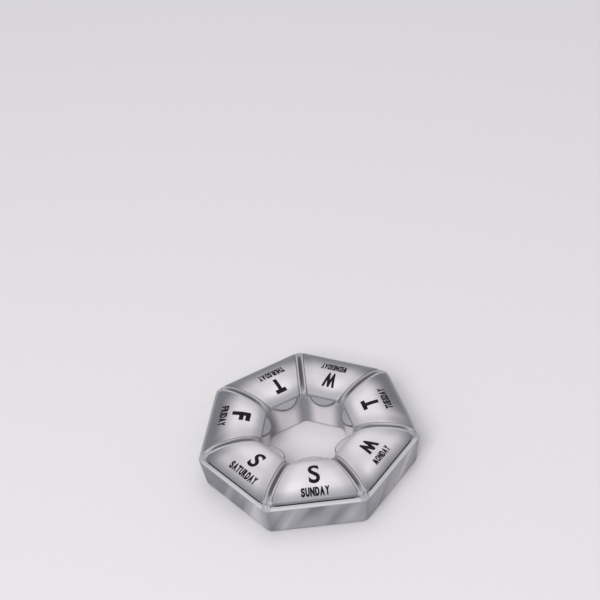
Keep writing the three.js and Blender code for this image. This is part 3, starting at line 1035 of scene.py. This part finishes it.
@dataclass(frozen=True)
class Lettering:
    """A bold condensed lettering: plain letters, each narrowed to its own width and then thickened."""

    gap: float = 0.04
    resolution: int = 6
    widths: dict[str, float] = field(default_factory=lambda: {
        "A": 0.62, "D": 0.58, "E": 0.5, "F": 0.5, "H": 0.58, "I": 0.22, "M": 0.74, "N": 0.6, "O": 0.6,
        "R": 0.56, "S": 0.54, "T": 0.56, "U": 0.56, "W": 0.74, "Y": 0.62})

    def line(self, words: str, boldness: float) -> bpy.types.Object:
        """A flat line of letters with its feet on the X axis and its middle at the origin.

        Args:
            words: The letters.
            boldness: What their strokes gain on either side.

        Returns:
            The line, as one mesh of height 1.
        """
        start, letters = 0.0, []
        for sign in words:
            letter = self._letter(sign, boldness)
            letter.data.transform(Matrix.Translation((start, 0.0, 0.0)))
            start += self.widths[sign] + self.gap
            letters.append(letter)
        only(letters[0])
        for letter in letters[1:]:
            letter.select_set(True)
        if len(letters) > 1:
            bpy.ops.object.join()
        line = bpy.context.object
        line.data.transform(Matrix.Translation(((self.gap - start) / 2, 0.0, 0.0)))
        return line

    def _letter(self, sign: str, boldness: float) -> bpy.types.Object:
        """One letter, of height 1, with its left foot at the origin. An M is a W turned upside down.

        Args:
            sign: The letter.
            boldness: What its strokes gain on either side.

        Returns:
            The letter's mesh.
        """
        turned = sign == "M"
        text = added(bpy.ops.object.text_add, "letter")
        text.data.body = "W" if turned else sign
        bpy.ops.object.convert(target="CURVE")
        outline = bpy.context.object
        outline.data.resolution_u = self.resolution
        points = [point.co for spline in outline.data.splines for point in spline.bezier_points]
        outline.data.transform(self._fitted(points, self.widths[sign]))
        outline.data.offset = boldness
        bpy.ops.object.convert(target="MESH")
        letter = bpy.context.object
        if turned:
            letter.data.transform(Matrix.Rotation(math.pi, 4, "Z"))
        corners = [vertex.co for vertex in letter.data.vertices]
        letter.data.transform(self._fitted(corners, self.widths[sign]))
        return letter

    def _fitted(self, points: list[Vector], width: float) -> Matrix:
        """Matrix that moves points to the origin and scales them to a width and to the height 1."""
        left, right = min(point.x for point in points), max(point.x for point in points)
        low, high = min(point.y for point in points), max(point.y for point in points)
        scale = Matrix.Diagonal((width / (right - left), 1.0 / (high - low), 1.0, 1.0))
        return scale @ Matrix.Translation((-left, -low, 0.0))


@dataclass(frozen=True)
class Line:
    """Place of a line of print, in mm: apothems of the letters' tops and feet, width, and place across.
    The boldness is what the strokes gain on either side, as a share of the letters' height."""

    top: float
    foot: float
    width: float
    across: float
    boldness: float = 0.08


@dataclass
class DayPrint:
    """The print on one lid: the day's initial, nearer the hole, and its name, nearer the rim. Each lid has
    them at a place and size of its own, as in the picture."""

    day: Day
    plan: RingPlan
    lettering: Lettering = field(default_factory=Lettering)
    lines: dict[Day, tuple[Line, Line]] = field(default_factory=lambda: {
        Day.SUNDAY: (Line(24.5, 34.0, 4.5, 0.6, 0.03), Line(35.5, 38.8, 11.3, 0.4)),
        Day.MONDAY: (Line(26.1, 32.4, 7.0, 0.5, 0.05), Line(34.4, 37.0, 10.2, -0.2)),
        Day.TUESDAY: (Line(23.8, 30.7, 5.2, -0.2, 0.075), Line(32.3, 35.4, 12.0, 0.4)),
        Day.WEDNESDAY: (Line(21.8, 28.7, 5.3, -0.8, 0.05), Line(30.3, 33.7, 11.0, -0.3)),
        Day.THURSDAY: (Line(21.1, 28.0, 4.6, -0.8, 0.075), Line(29.9, 33.3, 11.8, -1.4)),
        Day.FRIDAY: (Line(23.2, 30.8, 4.6, -0.8, 0.075), Line(32.8, 36.0, 11.2, -0.6)),
        Day.SATURDAY: (Line(24.3, 32.3, 4.3, 1.4, 0.035), Line(34.2, 37.4, 14.8, 1.9))})
    strip: float = 0.5 * MM
    thickness: float = 0.05 * MM
    clear: float = 30 * MM

    def build(self, lid: bpy.types.Object) -> bpy.types.Object:
        """Prints both lines on the Sunday side.

        Args:
            lid: The lid that they are draped on.

        Returns:
            The print, as one piece.
        """
        initial_line, name_line = self.lines[self.day]
        initial = self._line(self.day.initial, initial_line)
        name = self._line(self.day.name, name_line)
        only(initial)
        name.select_set(True)
        bpy.ops.object.join()
        apply_modifier(initial, "SHRINKWRAP", target=lid, wrap_method="PROJECT", use_project_z=True,
                       use_negative_direction=True, use_positive_direction=False, offset=self.thickness / 2)
        apply_modifier(initial, "SOLIDIFY", thickness=self.thickness, offset=0.0)
        return initial

    def _line(self, words: str, line: Line) -> bpy.types.Object:
        """A flat line of letters over its place on the lid, read from outside the ring.

        Args:
            words: The letters.
            line: Their place.

        Returns:
            The letters, cut across into strips, so that they can bend over the arch.
        """
        letters = self.lettering.line(words, line.boldness)
        tall = (line.foot - line.top) * MM
        reach = max(vertex.co.x for vertex in letters.data.vertices)
        shift = Vector((line.across * MM, -line.foot * MM, self.clear))
        scale = Matrix.Diagonal((line.width * MM / 2 / reach, tall, 1.0, 1.0))
        letters.data.transform(Matrix.Translation(self.plan.middle + shift) @ scale)
        edit(letters)
        for index in range(1, round(tall / self.strip)):
            bpy.ops.mesh.select_all(action="SELECT")
            cut = self.plan.middle.y - line.top * MM - index * self.strip
            bpy.ops.mesh.bisect(plane_co=(0.0, cut, 0.0), plane_no=(0.0, 1.0, 0.0))
        bpy.ops.mesh.select_all(action="SELECT")
        bpy.ops.mesh.remove_doubles(threshold=0.001 * MM)
        bpy.ops.object.mode_set(mode="OBJECT")
        return letters


@dataclass(frozen=True)
class Lamp:
    """A soft square lamp that looks at the box."""

    name: str
    place: tuple[float, float, float]
    side: float
    power: float

    def build(self) -> None:
        """Hangs the lamp."""
        lamp = added(bpy.ops.object.light_add, self.name, type="AREA", location=self.place)
        lamp.data.size = self.side
        lamp.data.energy = self.power
        lamp.rotation_euler = (-Vector(self.place)).to_track_quat("-Z", "Y").to_euler()


@dataclass
class Studio:
    """Floor, lamps, world and camera."""

    eye: Vector = field(default_factory=lambda: Vector((-1.644, -467.39, 492.98)) * MM)
    azimuth: float = -0.513
    elevation: float = 41.301
    roll: float = -5.953
    focal_px: float = 1639.5
    frame_px: float = 600.0
    sensor: float = 36.0
    clip_start: float = 10 * MM
    lamps: tuple[Lamp, ...] = (Lamp("key", (-0.4, -0.95, 1.15), side=0.8, power=16.0),
                               Lamp("top", (0.1, 0.3, 1.5), side=1.0, power=5.0))
    floor_width: float = 3.0
    world_strength: float = 0.55
    white: Colour = (1.0, 1.0, 1.0)

    def build(self) -> None:
        """Builds the whole studio."""
        self._floor()
        self._world()
        for lamp in self.lamps:
            lamp.build()
        self._camera()
        bpy.context.scene.view_settings.view_transform = "Standard"

    def _floor(self) -> None:
        """The floor: a wide flat sheet."""
        floor = added(bpy.ops.mesh.primitive_grid_add, "floor", x_subdivisions=2, y_subdivisions=2,
                      size=self.floor_width)
        floor.data.materials.append(FloorPaper().material())

    def _world(self) -> None:
        """Even soft light all round, white to the camera and to gloss."""
        world = bpy.data.worlds.new("studio")
        bpy.context.scene.world = world
        world.use_nodes = True
        graph = Graph(world.node_tree)
        path = graph.node("ShaderNodeLightPath", {})
        camera, glossy, clear = graph.outputs(path, "Is Camera Ray", "Is Glossy Ray", "Is Transmission Ray")
        light = graph.node("ShaderNodeBackground", {}, Color=self.white, Strength=self.world_strength)
        bright = graph.node("ShaderNodeBackground", {}, Color=self.white, Strength=1.0)
        seen = graph.node("ShaderNodeMixShader", {}, camera + glossy + clear, light, bright)
        graph.feed(world.node_tree.nodes["World Output"].inputs["Surface"], seen)

    def _camera(self) -> None:
        """The camera, at the photograph's viewing angle."""
        camera = added(bpy.ops.object.camera_add, "camera")
        az, el, roll = (math.radians(a) for a in (self.azimuth, self.elevation, self.roll))
        back = Vector((math.sin(az) * math.cos(el), -math.cos(az) * math.cos(el), math.sin(el)))
        level = Vector((math.cos(az), math.sin(az), 0.0))
        upright = back.cross(level)
        right = level * math.cos(roll) + upright * math.sin(roll)
        up = upright * math.cos(roll) - level * math.sin(roll)
        turn = Matrix((right, up, back)).transposed().to_4x4()
        camera.matrix_world = Matrix.Translation(self.eye) @ turn
        camera.data.sensor_width = self.sensor
        camera.data.lens = self.focal_px / self.frame_px * self.sensor
        camera.data.clip_start = self.clip_start
        bpy.context.scene.camera = camera


def main() -> None:
    """Builds the pill box and its studio."""
    logging.basicConfig(level=logging.INFO, format="%(name)s %(message)s")
    plan = RingPlan.from_frame()
    _, lid_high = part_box(Day.SUNDAY.lid_name)
    Studio().build()
    Tray(plan).build()
    Lids(plan, LidShape(plan, crown=lid_high[2] - DayPrint.thickness)).build()


if __name__ == "__main__":
    main()
